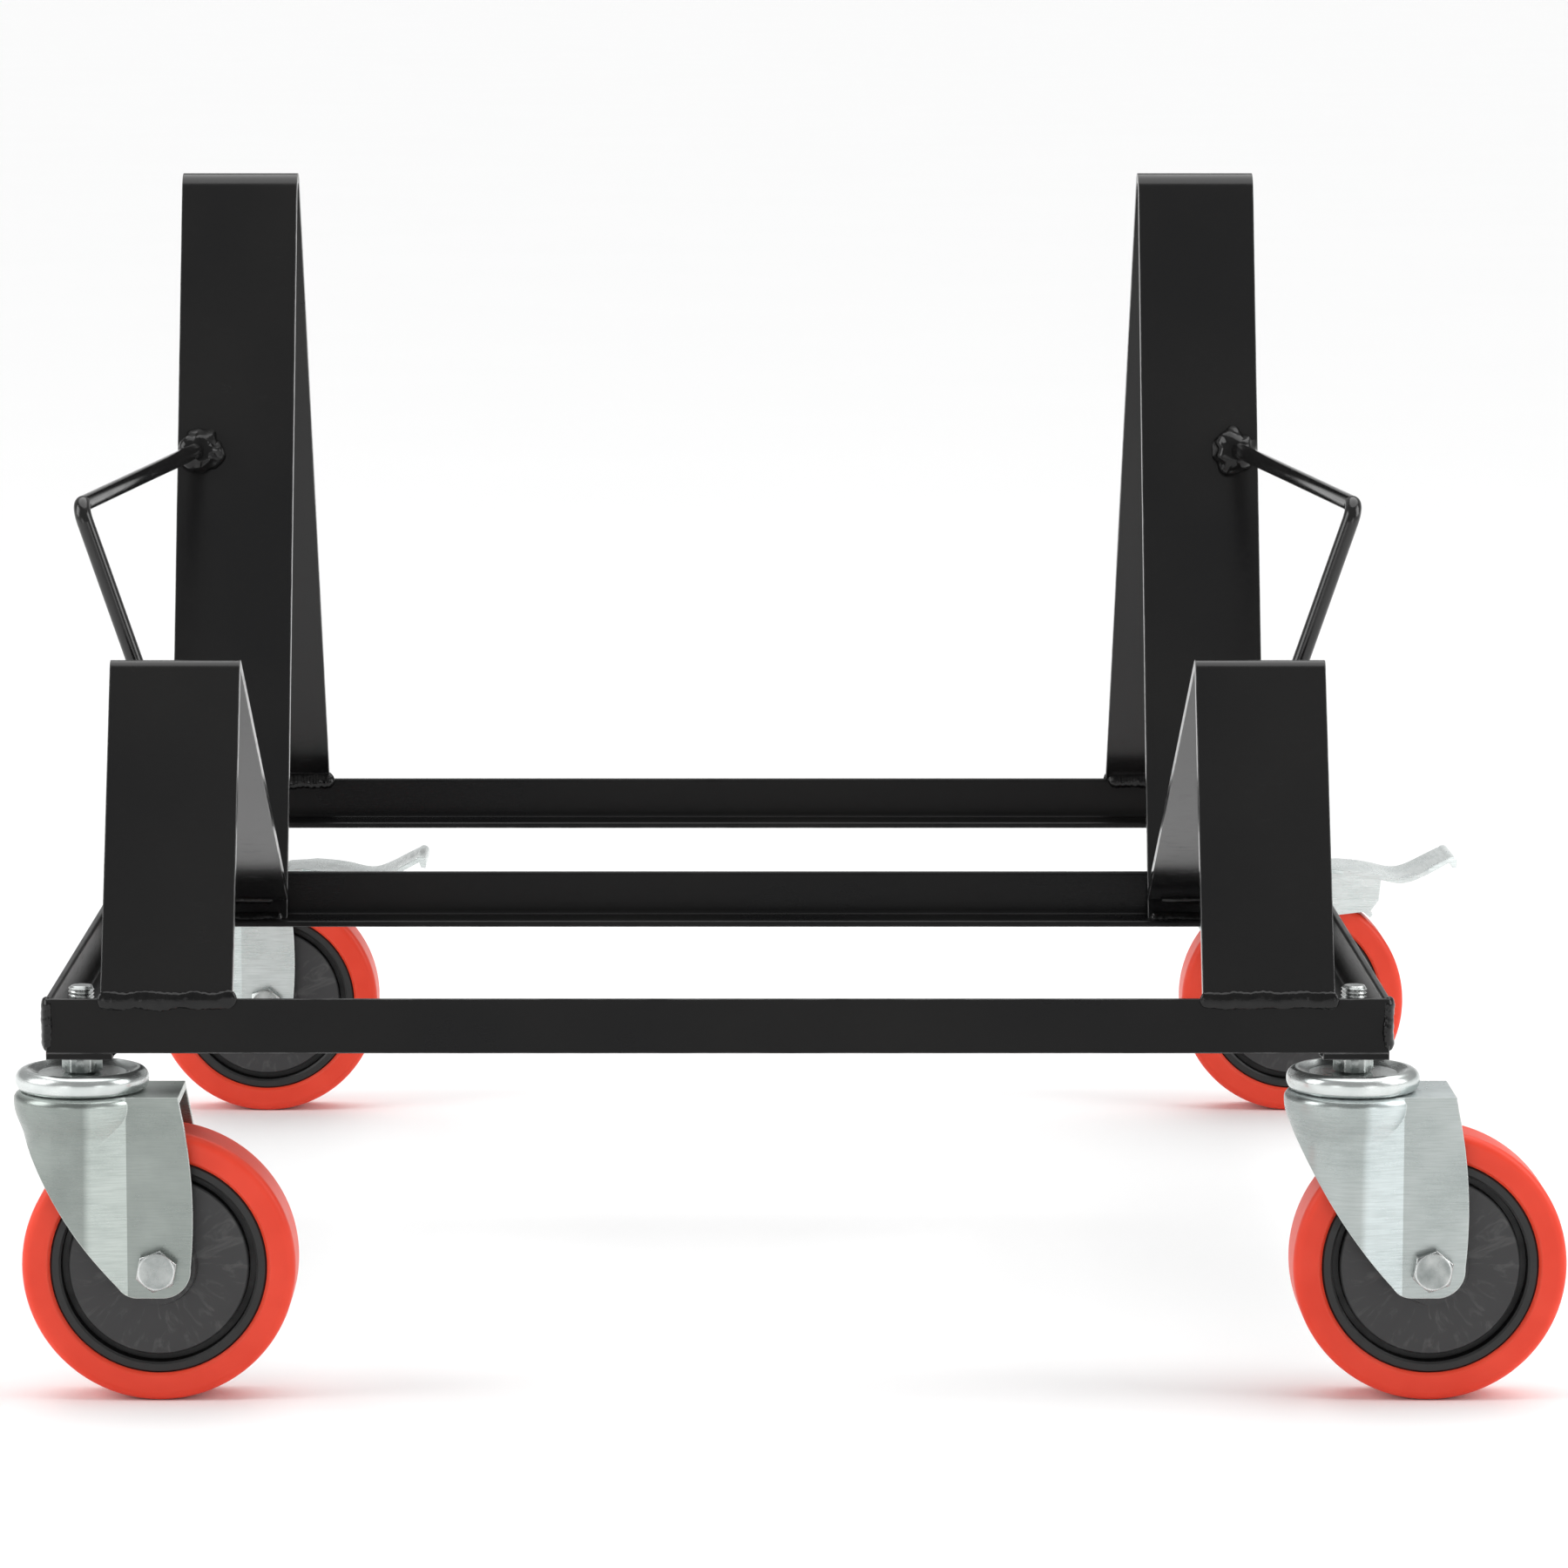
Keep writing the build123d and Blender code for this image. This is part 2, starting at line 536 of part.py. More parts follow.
def make_brake(name, kx, ky):
    """Pedal with side flanges and a cam bar, the shoe leaf under it, and their two pins."""
    upright = Plane(origin=(kx, ky, 0), x_dir=(1, 0, 0), z_dir=(0, -1, 0))
    flange_inside = FLANGE_OUTSIDE - FLANGE_THICKNESS
    with BuildPart() as pedal:
        # Tread plate: nearly level, then dipping and turning up to the toe
        with BuildSketch(upright):
            with BuildLine():
                top = Spline((46.6, 138.4), (66.0, 138.6), (83.0, 136.2), (94.5, 134.2),
                             (104.0, 137.0), (120.5, 145.4))
                ThreePointArc(top @ 1, (124.2, 146.2), (PEDAL_REACH, 143.4))
                Line((PEDAL_REACH, 143.4), (PEDAL_REACH - 0.4, 140.0))
                Line((PEDAL_REACH - 0.4, 140.0), (PEDAL_REACH - 2.8, 140.4))
                Line((PEDAL_REACH - 2.8, 140.4), (122.0, 143.3))
                Spline((122.0, 143.3), (105.2, 134.7), (95.0, 131.7), (82.6, 133.7),
                       (66.0, 136.1), (46.6, 135.9))
                Line((46.6, 135.9), top @ 0)
            make_face()
        extrude(amount=PEDAL_HALF_WIDTH, both=True)
        with BuildSketch(Plane(origin=(kx, ky, 128.0))):
            with BuildLine():
                Polyline((46.0, 0), (46.0, FLANGE_OUTSIDE), (56.0, FLANGE_OUTSIDE),
                         (62.0, PEDAL_HALF_WIDTH - 0.6), (110.0, PEDAL_HALF_WIDTH),
                         (PEDAL_REACH + 1, PEDAL_HALF_WIDTH - 2), (PEDAL_REACH + 1, 0), close=True)
            make_face()
            mirror(about=Plane.XZ)
        extrude(amount=22.0, mode=Mode.INTERSECT)
        # Side flanges, one each side of the wheel, and the cam bar between them
        for start in (flange_inside, -FLANGE_OUTSIDE):
            with BuildSketch(upright.offset(start)):
                with BuildLine():
                    Polyline((PEDAL_PIN[0], 128.0), (54.0, 114.5), (60.0, 112.8), (78.0, 115.0),
                             (82.6, 121.0), (84.0, 134.6), (66.0, 137.2), (47.0, 137.2),
                             (PEDAL_PIN[0], 138.0), close=True)
                make_face()
                with Locations(PEDAL_PIN):
                    Circle(5.0)
            extrude(amount=FLANGE_THICKNESS)
        with BuildSketch(upright):
            with Locations((46.5, 132.6)):
                Circle(1.8)
        extrude(amount=flange_inside + 0.5, both=True)
        with BuildSketch(upright):
            with Locations(PEDAL_PIN):
                Circle(PIN_RADIUS + RUNNING_GAP)
        extrude(amount=FLANGE_OUTSIDE + 1, both=True, mode=Mode.SUBTRACT)
    save(pedal, f"{name}_brake_pedal")

    near = WHEEL_RADIUS + SHOE_GAP
    far = near + SHOE_THICKNESS
    with BuildPart() as shoe:
        with BuildSketch(upright):
            with BuildLine():
                inside = CenterArc((TRAIL, WHEEL_RADIUS), near, 90 - SHOE_END_ANGLE,
                                   SHOE_END_ANGLE + 8)
                outside = CenterArc((TRAIL, WHEEL_RADIUS), far, 90 - SHOE_END_ANGLE,
                                    SHOE_END_ANGLE + 8)
                Line(inside @ 0, outside @ 0)
                Line(inside @ 1, outside @ 1)
            make_face()
            with Locations(SHOE_PIN):
                Circle(4.8)
                Circle(PIN_RADIUS + RUNNING_GAP, mode=Mode.SUBTRACT)
        extrude(amount=SHOE_HALF_WIDTH, both=True)
    save(shoe, f"{name}_brake_shoe")

    with BuildPart() as pins:
        with BuildSketch(upright):
            with Locations(PEDAL_PIN, SHOE_PIN):
                Circle(PIN_RADIUS)
        extrude(amount=FORK_HALF_WIDTH, both=True)
        for end in (FORK_HALF_WIDTH, -FORK_HALF_WIDTH - PIN_HEAD):
            with BuildSketch(upright.offset(end)):
                with Locations(PEDAL_PIN, SHOE_PIN):
                    Circle(PIN_HEAD_RADIUS)
            extrude(amount=PIN_HEAD)
    save(pins, f"{name}_brake_pins")


for (corner, _, side_y), (kx, ky) in zip(CORNERS, KINGPINS):
    make_stem(corner, kx, ky)
    make_top_raceway(corner, kx, ky)
    make_balls(corner, kx, ky)
    make_fork(corner, kx, ky, braked=side_y > 0)
    make_axle(corner, kx, ky)
    make_wheel(corner, kx, ky)
    if side_y > 0:
        make_brake(corner, kx, ky)
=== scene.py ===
"""Engine stand on a pale floor.

Procedural finishes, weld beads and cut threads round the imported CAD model.
"""

import math

import bpy
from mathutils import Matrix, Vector, noise


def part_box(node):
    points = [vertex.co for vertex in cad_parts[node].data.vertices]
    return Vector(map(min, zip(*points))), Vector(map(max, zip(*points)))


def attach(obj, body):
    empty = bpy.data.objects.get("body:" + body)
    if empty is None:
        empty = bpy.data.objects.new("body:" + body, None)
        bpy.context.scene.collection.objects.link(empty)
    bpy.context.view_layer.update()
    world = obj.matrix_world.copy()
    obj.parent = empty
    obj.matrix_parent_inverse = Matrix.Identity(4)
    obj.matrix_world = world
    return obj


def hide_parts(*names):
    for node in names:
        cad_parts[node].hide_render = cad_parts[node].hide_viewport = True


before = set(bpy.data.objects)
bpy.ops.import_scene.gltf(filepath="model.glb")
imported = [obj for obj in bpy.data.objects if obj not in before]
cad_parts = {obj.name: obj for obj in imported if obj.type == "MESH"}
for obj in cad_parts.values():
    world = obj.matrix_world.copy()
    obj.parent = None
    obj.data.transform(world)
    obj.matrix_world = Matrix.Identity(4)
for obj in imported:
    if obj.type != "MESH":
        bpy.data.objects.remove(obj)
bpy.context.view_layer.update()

MM = 0.001
CORNERS = ("front_left", "front_right", "rear_left", "rear_right")

# Places read from the frame
RAIL_LOW, RAIL_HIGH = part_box("front_rail")
REAR_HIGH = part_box("rear_rail")[1]
MIDDLE_X = (RAIL_LOW.x + RAIL_HIGH.x) / 2
FRONT_Y = RAIL_LOW.y
RAIL_TOP = RAIL_HIGH.z
RAIL_BOTTOM = RAIL_LOW.z

# Camera, as fitted to the stand's own edges
CAMERA_DISTANCE = 2.965
CAMERA_HEIGHT = 0.680
CAMERA_PITCH = math.radians(7.6)
CAMERA_LENS = 152.1
CAMERA_SHIFT = 0.0423
CAMERA_SENSOR = 36.0

# Studio: the surround's brightness, the sines of elevation between which it fades, the lights
HORIZON_LIGHT = 0.965
OVERHEAD_LIGHT = 0.40
FADE_START = 0.10
FADE_END = 0.17
FLOOR_HALF = 120.0
AIM_HEIGHT = 0.25
SUN_ENERGY = 2.0
SUN_ANGLE = math.radians(70)
SIDE_SOFTBOXES = (("left_softbox", -2.4), ("right_softbox", 2.4))
SIDE_ENERGY = 30
FRONT_QUARTERS = (("left_front_softbox", -1.7), ("right_front_softbox", 1.7))
FRONT_ENERGY = 4


# ---------------------------------------------------------------- node helpers

class Shader:
    """A material's node tree, with short ways to add and link nodes."""

    def __init__(self, name):
        self.material = bpy.data.materials.new(name)
        self.material.use_nodes = True
        self.tree = self.material.node_tree
        self.tree.nodes.clear()
        self.output = self.node("ShaderNodeOutputMaterial")
        self.surface = self.node("ShaderNodeBsdfPrincipled")
        self.link(self.surface.outputs["BSDF"], self.output.inputs["Surface"])

    def node(self, kind, **settings):
        made = self.tree.nodes.new(kind)
        for key, value in settings.items():
            setattr(made, key, value)
        return made

    def link(self, source, target):
        self.tree.links.new(source, target)

    def fill(self, socket, value):
        """Link a socket to another node's output, or set it to a number."""
        if isinstance(value, bpy.types.NodeSocket):
            self.link(value, socket)
        else:
            socket.default_value = value

    def place(self, stretch=(1, 1, 1)):
        """Object coordinates, stretched along each axis."""
        coordinates = self.node("ShaderNodeTexCoord")
        mapping = self.node("ShaderNodeMapping")
        mapping.inputs["Scale"].default_value = stretch
        self.link(coordinates.outputs["Object"], mapping.inputs["Vector"])
        return mapping.outputs["Vector"]

    def noise(self, vector, scale, detail=3.0, roughness=0.5, distortion=0.0):
        made = self.node("ShaderNodeTexNoise")
        self.link(vector, made.inputs["Vector"])
        made.inputs["Scale"].default_value = scale
        made.inputs["Detail"].default_value = detail
        made.inputs["Roughness"].default_value = roughness
        made.inputs["Distortion"].default_value = distortion
        return made.outputs["Fac"]

    def spread(self, value, low, high, start=0.0, end=1.0):
        """Map a value from low..high to start..end."""
        made = self.node("ShaderNodeMapRange")
        self.link(value, made.inputs["Value"])
        made.inputs["From Min"].default_value = low
        made.inputs["From Max"].default_value = high
        made.inputs["To Min"].default_value = start
        made.inputs["To Max"].default_value = end
        return made.outputs["Result"]

    def math(self, operation, first, second=0.0):
        made = self.node("ShaderNodeMath", operation=operation)
        self.fill(made.inputs[0], first)
        self.fill(made.inputs[1], second)
        return made.outputs["Value"]

    def mix(self, share, first, second):
        """Mix two colours, each a tuple or another node's output."""
        made = self.node("ShaderNodeMix", data_type="RGBA")
        self.fill(made.inputs["Factor"], share)
        for socket, value in ((made.inputs[6], first), (made.inputs[7], second)):
            self.fill(socket, (*value, 1.0) if isinstance(value, tuple) else value)
        return made.outputs[2]

    def edges(self, radius, full=0.86):
        """A mask that is 1 on sharp edges, and the normal that rounds them off."""
        bevel = self.node("ShaderNodeBevel", samples=4)
        bevel.inputs["Radius"].default_value = radius
        geometry = self.node("ShaderNodeNewGeometry")
        dot = self.node("ShaderNodeVectorMath", operation="DOT_PRODUCT")
        self.link(bevel.outputs["Normal"], dot.inputs[0])
        self.link(geometry.outputs["Normal"], dot.inputs[1])
        return self.spread(dot.outputs["Value"], 0.995, full), bevel.outputs["Normal"]

    def bump(self, height, distance, strength=1.0, under=None):
        made = self.node("ShaderNodeBump")
        made.inputs["Strength"].default_value = strength
        made.inputs["Distance"].default_value = distance
        self.link(height, made.inputs["Height"])
        if under is not None:
            self.link(under, made.inputs["Normal"])
        return made.outputs["Normal"]

    def finish(self, colour, roughness, normal=None, **sockets):
        """Fill the Principled shader's sockets and return the material."""
        self.fill(self.surface.inputs["Base Color"], colour)
        self.fill(self.surface.inputs["Roughness"], roughness)
        if normal is not None:
            self.link(normal, self.surface.inputs["Normal"])
        for key, value in sockets.items():
            self.surface.inputs[key.replace("_", " ")].default_value = value
        return self.material


# ---------------------------------------------------------------- materials

def black_powder_coat(name, gloss, specular, peel_strength):
    """Satin black powder coat: fine orange peel, faint mottling, greyer sharp edges that are
    partly worn film and partly a painted highlight.
    """
    s = Shader(name)
    place = s.place()
    cloud = s.noise(place, 9, detail=4)
    peel = s.noise(place, 700, detail=2, roughness=0.4)
    scuff = s.noise(s.place(stretch=(3, 1, 14)), 40, detail=5, roughness=0.7)
    corner, rounded = s.edges(0.9 * MM)
    edge = s.math("MULTIPLY", corner, s.spread(s.noise(place, 60), 0.3, 0.6))
    base = s.mix(s.spread(cloud, 0.35, 0.65), (0.0044, 0.0044, 0.0047), (0.0074, 0.0071, 0.0069))
    # Sharp edges turn grey: partly a thin worn film, partly a painted highlight
    colour = s.mix(s.math("MULTIPLY", edge, 0.8), base, (0.30, 0.30, 0.30))
    rough = s.math("ADD", s.spread(cloud, 0.3, 0.7, 0.36 - gloss, 0.44 - gloss),
                   s.spread(scuff, 0.52, 0.8, 0.0, 0.12))
    return s.finish(colour, rough, s.bump(peel, 0.05 * MM, peel_strength, rounded),
                    Specular_IOR_Level=specular)


def weld_paint():
    """The same paint pooled over weld metal, glossier and lumpier."""
    s = Shader("weld_paint")
    place = s.place()
    lumps = s.noise(place, 260, detail=3)
    fine = s.noise(place, 900, detail=2)
    colour = s.mix(s.spread(lumps, 0.3, 0.7), (0.003, 0.003, 0.0032), (0.007, 0.0068, 0.0066))
    rough = s.spread(fine, 0.3, 0.7, 0.08, 0.20)
    normal = s.bump(fine, 0.05 * MM, 0.5, s.bump(lumps, 0.35 * MM, 0.7))
    return s.finish(colour, rough, normal, Specular_IOR_Level=0.3)


def zinc_sheet(name, flat_tones, painted_reflection_tones):
    """Zinc plate on pressed sheet: soft clouds and fine rolling lines.

    Faces turned towards the piece's own +X, and faces that look up, take the bright tones:
    a painted reflection. Metallic falls on those that look up. Both are fitted in place of a
    studio's reflections. The near-white colour on sharp edges is a painted highlight.
    """
    s = Shader(name)
    place = s.place()
    cloud = s.noise(place, 34, detail=4)
    lines = s.noise(s.place(stretch=(1, 1, 22)), 70, detail=5, roughness=0.65)
    grit = s.noise(place, 1500, detail=2)
    edge, rounded = s.edges(0.8 * MM)
    flat = s.mix(s.spread(cloud, 0.3, 0.7), *flat_tones)
    bright = s.mix(s.spread(cloud, 0.3, 0.7), *painted_reflection_tones)
    # Painted reflection: faces turned to +X or up take the bright tones
    facing = s.node("ShaderNodeSeparateXYZ")
    s.link(s.node("ShaderNodeTexCoord").outputs["Normal"], facing.inputs["Vector"])
    sideways = s.spread(facing.outputs["X"], 0.08, 0.20)
    top = s.spread(facing.outputs["Z"], 0.6, 0.95)
    base = s.mix(s.math("MAXIMUM", sideways, top), flat, bright)
    toned = s.mix(s.spread(lines, 0.4, 0.75, 0.0, 0.35), base, (0.20, 0.23, 0.22))
    # Painted highlight: sharp edges take a near-white colour
    colour = s.mix(s.math("MULTIPLY", edge, 0.7), toned, (0.85, 0.89, 0.87))
    rough = s.math("ADD", s.spread(cloud, 0.25, 0.75, 0.22, 0.32),
                   s.spread(lines, 0.45, 0.8, 0.0, 0.10))
    normal = s.bump(grit, 0.02 * MM, 0.35, s.bump(lines, 0.04 * MM, 0.35, rounded))
    # Less metallic on up-facing faces, which lightens them as part of the painted reflection
    s.link(s.spread(facing.outputs["Z"], 0.6, 0.95, 0.88, 0.45), s.surface.inputs["Metallic"])
    return s.finish(colour, rough, normal)


def zinc_polished():
    """Zinc-plated spun raceway, brighter and smoother than the fork."""
    s = Shader("zinc_polished")
    place = s.place()
    cloud = s.noise(place, 60, detail=3)
    rings = s.noise(s.place(stretch=(1, 1, 30)), 60, detail=4)
    colour = s.mix(s.spread(cloud, 0.3, 0.7), (0.50, 0.54, 0.53), (0.68, 0.71, 0.70))
    rough = s.math("ADD", s.spread(cloud, 0.3, 0.7, 0.20, 0.28),
                   s.spread(rings, 0.5, 0.8, 0.0, 0.06))
    return s.finish(colour, rough, s.bump(rings, 0.03 * MM, 0.3), Metallic=0.92)


def zinc_fastener():
    """Plated bolts, nuts and stems: a little duller and darker all over, with painted highlights
    on sharp edges.
    """
    s = Shader("zinc_fastener")
    place = s.place()
    cloud = s.noise(place, 130, detail=4)
    grit = s.noise(place, 1300, detail=2)
    edge, rounded = s.edges(1.2 * MM, full=0.965)
    base = s.mix(s.spread(cloud, 0.3, 0.7), (0.22, 0.24, 0.235), (0.44, 0.46, 0.45))
    # Painted highlight: sharp edges take a near-white colour
    colour = s.mix(s.math("MULTIPLY", edge, 0.8), base, (0.92, 0.94, 0.93))
    rough = s.spread(cloud, 0.25, 0.75, 0.20, 0.34)
    return s.finish(colour, rough, s.bump(grit, 0.03 * MM, 0.4, rounded), Metallic=1.0)


def bearing_steel():
    """Hard polished steel of the balls and bearing rings."""
    s = Shader("bearing_steel")
    place = s.place()
    haze = s.noise(place, 240, detail=3)
    colour = s.mix(s.spread(haze, 0.3, 0.7), (0.56, 0.56, 0.57), (0.66, 0.66, 0.67))
    normal = s.bump(s.noise(place, 2000), 0.01 * MM, 0.2)
    return s.finish(colour, s.spread(haze, 0.3, 0.7, 0.12, 0.24), normal, Metallic=1.0)


def polyurethane():
    """Red-orange cast polyurethane: slightly cloudy, semi-gloss, lighter on sharp edges as a
    painted highlight.
    """
    s = Shader("polyurethane")
    place = s.place()
    cloud = s.noise(place, 30, detail=3)
    speck = s.noise(place, 900, detail=2)
    scuff = s.noise(s.place(stretch=(1, 6, 1)), 120, detail=5, roughness=0.7)
    edge, rounded = s.edges(1.6 * MM)
    base = s.mix(s.spread(cloud, 0.3, 0.7), (0.74, 0.046, 0.018), (0.83, 0.066, 0.032))
    # Painted highlight: sharp edges take a lighter, pinker red
    colour = s.mix(s.math("MULTIPLY", edge, 0.35), base, (0.92, 0.16, 0.09))
    rough = s.math("ADD", s.spread(cloud, 0.3, 0.7, 0.34, 0.42),
                   s.spread(scuff, 0.55, 0.8, 0.0, 0.15))
    normal = s.bump(speck, 0.03 * MM, 0.4, rounded)
    return s.finish(colour, rough, normal, Subsurface_Weight=0.12, Subsurface_Scale=0.004,
                    Specular_IOR_Level=0.28)


def hub_plastic():
    """Moulded charcoal plastic with faint radial flow marks round the hub's own centre."""
    s = Shader("hub_plastic")
    centred = s.node("ShaderNodeVectorMath", operation="SUBTRACT")
    s.link(s.node("ShaderNodeTexCoord").outputs["Generated"], centred.inputs[0])
    centred.inputs[1].default_value = (0.5, 0.5, 0.5)
    flat = s.node("ShaderNodeVectorMath", operation="MULTIPLY")
    s.link(centred.outputs["Vector"], flat.inputs[0])
    flat.inputs[1].default_value = (1, 0, 1)
    ray = s.node("ShaderNodeVectorMath", operation="NORMALIZE")
    s.link(flat.outputs["Vector"], ray.inputs[0])
    drift = s.node("ShaderNodeVectorMath", operation="MULTIPLY_ADD")
    s.link(flat.outputs["Vector"], drift.inputs[0])
    drift.inputs[1].default_value = (1.6, 0, 1.6)
    s.link(ray.outputs["Vector"], drift.inputs[2])
    flow = s.noise(drift.outputs["Vector"], 3.4, detail=5, roughness=0.6, distortion=1.2)
    place = s.place()
    grain = s.noise(place, 1600, detail=2)
    streak = s.spread(flow, 0.54, 0.70)
    reach = s.node("ShaderNodeVectorMath", operation="LENGTH")
    s.link(flat.outputs["Vector"], reach.inputs[0])
    # Painted shade: the groove ring is painted near black where the recess falls into shade; the
    # ring outside it is darker too
    painted_groove_shade = s.math("MULTIPLY", s.spread(reach.outputs["Value"], 0.411, 0.417),
                    s.spread(reach.outputs["Value"], 0.456, 0.450))
    lip = s.spread(reach.outputs["Value"], 0.450, 0.456)
    disc = s.mix(s.math("MULTIPLY", streak, 0.7), (0.033, 0.033, 0.034), (0.075, 0.075, 0.074))
    colour = s.mix(painted_groove_shade, s.mix(lip, disc, (0.014, 0.014, 0.014)), (0.002, 0.002, 0.002))
    rough = s.spread(flow, 0.3, 0.75, 0.50, 0.34)
    normal = s.bump(grain, 0.03 * MM, 0.4, s.bump(flow, 0.25 * MM, 0.3))
    return s.finish(colour, rough, normal, Specular_IOR_Level=0.4)


def pale_floor():
    """Plain white studio floor with an almost invisible mottling."""
    s = Shader("pale_floor")
    cloud = s.noise(s.place(), 2.0, detail=2)
    colour = s.mix(s.spread(cloud, 0.3, 0.7), (0.963, 0.963, 0.963), (0.970, 0.970, 0.970))
    return s.finish(colour, 0.8, Specular_IOR_Level=0.1)


PAINT = black_powder_coat("black_powder_coat", 0.10, 0.16, 0.5)
POST_PAINT = black_powder_coat("black_powder_coat_posts", 0.22, 0.42, 0.2)
ROD_PAINT = black_powder_coat("black_powder_coat_rods", 0.28, 0.5, 0.3)
WELD = weld_paint()
# Lit and shaded copies of one zinc plating: the front-left fork's darker tones are painted shade;
# the rear forks' and the pedal's lighter tones are painted light
PAINTED_SHADE_SHEET = zinc_sheet("zinc_sheet_painted_shade", ((0.22, 0.245, 0.23), (0.31, 0.34, 0.32)),
                        ((0.42, 0.465, 0.44), (0.52, 0.57, 0.54)))
SHEET = zinc_sheet("zinc_sheet", ((0.33, 0.365, 0.355), (0.45, 0.485, 0.475)),
                   ((0.50, 0.56, 0.56), (0.62, 0.68, 0.68)))
PAINTED_LIGHT_SHEET = zinc_sheet("zinc_sheet_painted_light", ((0.50, 0.55, 0.54), (0.62, 0.66, 0.65)),
                        ((0.56, 0.62, 0.61), (0.68, 0.73, 0.72)))
PAINTED_LIGHT_PEDAL_SHEET = zinc_sheet("zinc_sheet_pedal_painted_light", ((0.66, 0.72, 0.71), (0.80, 0.84, 0.83)),
                         ((0.70, 0.76, 0.75), (0.84, 0.88, 0.87)))
POLISHED = zinc_polished()
FASTENER = zinc_fastener()
BEARING = bearing_steel()
TREAD = polyurethane()
HUB = hub_plastic()

FINISHES = (
    (("side_rod",), ROD_PAINT),
    (("post",), POST_PAINT),
    (("tread",), TREAD),
    (("hub",), HUB),
    (("ball_bearings", "wheel_bearings"), BEARING),
    (("top_raceway",), POLISHED),
    (("brake_pedal", "brake_shoe"), PAINTED_LIGHT_PEDAL_SHEET),
    (("front_left_fork",), PAINTED_SHADE_SHEET),
    (("rear_left_fork", "rear_right_fork"), PAINTED_LIGHT_SHEET),
    (("fork", "lower_races"), SHEET),
    (("stem", "axle_bolt", "axle_nut", "axle_sleeve", "brake_pins", "stem_nuts"), FASTENER),
)


def finish_of(node):
    """The material for a CAD node, by how its name ends."""
    for endings, material in FINISHES:
        if node.endswith(endings):
            return material
    return PAINT


for node_name, node_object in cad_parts.items():
    node_object.data.materials.clear()
    node_object.data.materials.append(finish_of(node_name))


# ---------------------------------------------------------------- mesh helpers

SMOOTH_ANGLE = math.radians(32)


def new_piece(name, points, faces, material, body="root", replaced=()):
    """Make a mesh piece that rides on a body and takes its finish from a slot."""
    mesh = bpy.data.meshes.new(name)
    mesh.from_pydata([tuple(p) for p in points], [], faces)
    mesh.materials.append(material)
    mesh.shade_smooth()
    piece = bpy.data.objects.new(name, mesh)
    bpy.context.scene.collection.objects.link(piece)
    mesh.set_sharp_from_angle(angle=SMOOTH_ANGLE)
    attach(piece, body)
    if replaced:
        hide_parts(*replaced)
    return piece


def tube_faces(rings, around):
    """Faces of a closed tube: quads between rings, one polygon at each end."""
    faces = []
    for r in range(rings - 1):
        for a in range(around):
            b = (a + 1) % around
            low, high = r * around, (r + 1) * around
            faces.append((low + a, low + b, high + b, high + a))
    faces.append(tuple(reversed(range(around))))
    faces.append(tuple((rings - 1) * around + a for a in range(around)))
    return faces


ROD_RADIUS = 4.0 * MM
COLLAR_RINGS = 16
COLLAR_AROUND = 64
BEAD_STEP = 0.7 * MM
BEAD_AROUND = 18
RIPPLE_PITCH = 3.4 * MM


def bead_points(start, end, out, half_height, bulge, seed):
    """Rings of a weld bead from start to end that stands proud along out."""
    along = end - start
    length = along.length
    along.normalize()
    out = (out - along * out.dot(along)).normalized()
    up = along.cross(out)
    rings = max(8, round(length / BEAD_STEP))
    points = []
    for r in range(rings):
        share = r / (rings - 1)
        place = share * length
        nose = min(place, length - place) / (half_height * 0.9)
        taper = math.sqrt(max(0.02, 1 - (1 - min(1.0, nose)) ** 2))
        sway = noise.noise(Vector((place * 55, seed, 0)))
        width = noise.noise(Vector((place * 90, seed + 5, 3)))
        centre = start + along * place + up * (sway * half_height * 0.28)
        for a in range(BEAD_AROUND):
            turn = 2 * math.pi * a / BEAD_AROUND
            crest = math.cos(turn)
            phase = place + crest * 1.3 * MM
            ripple = abs(math.sin(math.pi * phase / RIPPLE_PITCH)) ** 0.7
            lump = noise.noise(Vector((place * 160, math.sin(turn) * 1.5, seed)))
            swell = taper * (0.90 + 0.08 * ripple + 0.16 * lump + 0.12 * width)
            points.append(centre + out * (crest * bulge * swell)
                          + up * (math.sin(turn) * half_height * swell))
    return points, rings


def weld_beads(name, runs):
    """One piece that holds several weld beads: (start, end, out, half height, bulge) each."""
    points, faces = [], []
    for index, (start, end, out, half_height, bulge) in enumerate(runs):
        made, rings = bead_points(Vector(start), Vector(end), Vector(out), half_height, bulge,
                                  seed=7.3 * index + len(name))
        first = len(points)
        points += made
        faces += [tuple(first + i for i in face) for face in tube_faces(rings, BEAD_AROUND)]
    return new_piece(name, points, faces, WELD)


def collar(centre, axis, face_normal, radius, height, seed):
    """Rings of a lumpy weld round a rod's end: wide on the face, closing on to the rod."""
    side = face_normal.cross(Vector((0, 0, 1))).normalized()
    up = side.cross(face_normal)
    points = []
    for r in range(COLLAR_RINGS):
        share = r / (COLLAR_RINGS - 1)
        swell = (1 - share ** 1.5) * (radius - ROD_RADIUS)
        lift = height * math.sin(share * math.pi / 2)
        for a in range(COLLAR_AROUND):
            turn = 2 * math.pi * a / COLLAR_AROUND
            spoke = side * math.cos(turn) + up * math.sin(turn)
            spot = Vector((math.cos(turn), math.sin(turn), share))
            lump = noise.noise(spot * 1.2 + Vector((0, 0, seed)))
            bead = noise.noise(spot * 2.6 + Vector((0, 0, seed + 40)))
            reach = ROD_RADIUS * 0.9 + swell * (0.92 + 0.40 * lump + 0.22 * bead)
            points.append(centre - face_normal * (0.5 * MM) + axis * lift + spoke * reach)
    return points


